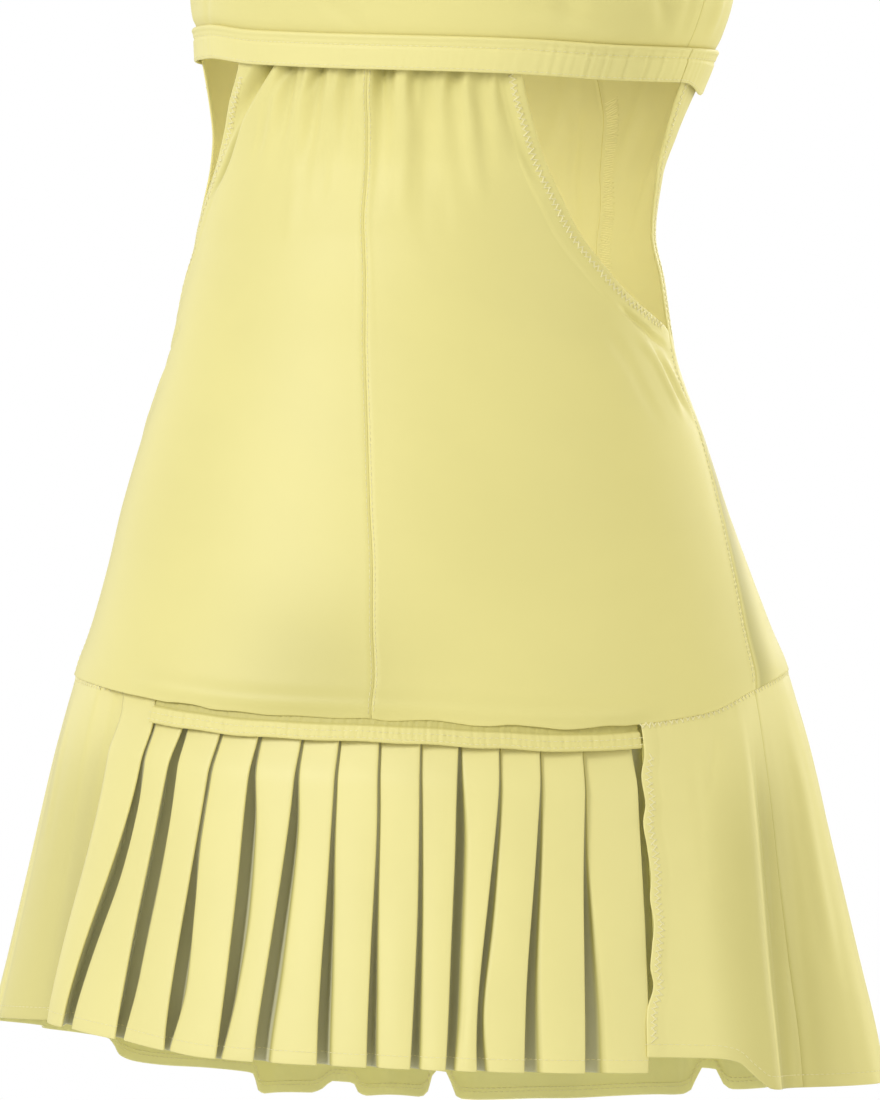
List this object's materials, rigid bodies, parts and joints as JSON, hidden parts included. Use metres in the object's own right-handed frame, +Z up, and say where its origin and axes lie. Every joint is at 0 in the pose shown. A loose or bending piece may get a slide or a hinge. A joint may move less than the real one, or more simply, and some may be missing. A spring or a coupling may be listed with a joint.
{
  "type": "tennis dress",
  "caption": "Pale lemon sleeveless tennis dress, hollow as when worn, with side cut-outs, an underbust band and a pleated flounce that hangs longer at the back.",
  "frame": {"origin": "between the two shoulder straps, at their tops, where the wearer's shoulders hold the dress up", "axes": "+Z up along the dress, the front of the dress faces -Y, +X towards the wearer's left"},
  "size_m": [0.4638, 0.3277, 0.8906],
  "materials": {
    "bodice_cloth": "smooth stretch sports cloth, soft satin sheen",
    "body_cloth": "smooth stretch sports cloth, soft satin sheen",
    "band_cloth": "the same cloth stitched over elastic",
    "skirt_cloth": "light woven cloth, pressed into pleats, soft satin sheen",
    "strip_cloth": "the same cloth, flattened by stitching"
  },
  "bodies": {
    "root": {"bodice_front": "bodice_cloth", "bodice_back": "bodice_cloth", "band_front": "band_cloth", "band_back": "band_cloth", "body_front_left": "body_cloth", "body_front_right": "body_cloth", "body_back_left": "body_cloth", "body_back_centre": "body_cloth", "body_back_right": "body_cloth", "pleat_strip": "strip_cloth", "pleat_panel": "skirt_cloth", "flounce_left": "skirt_cloth", "flounce_back": "skirt_cloth", "flounce_right": "skirt_cloth"}
  },
  "joints": []
}
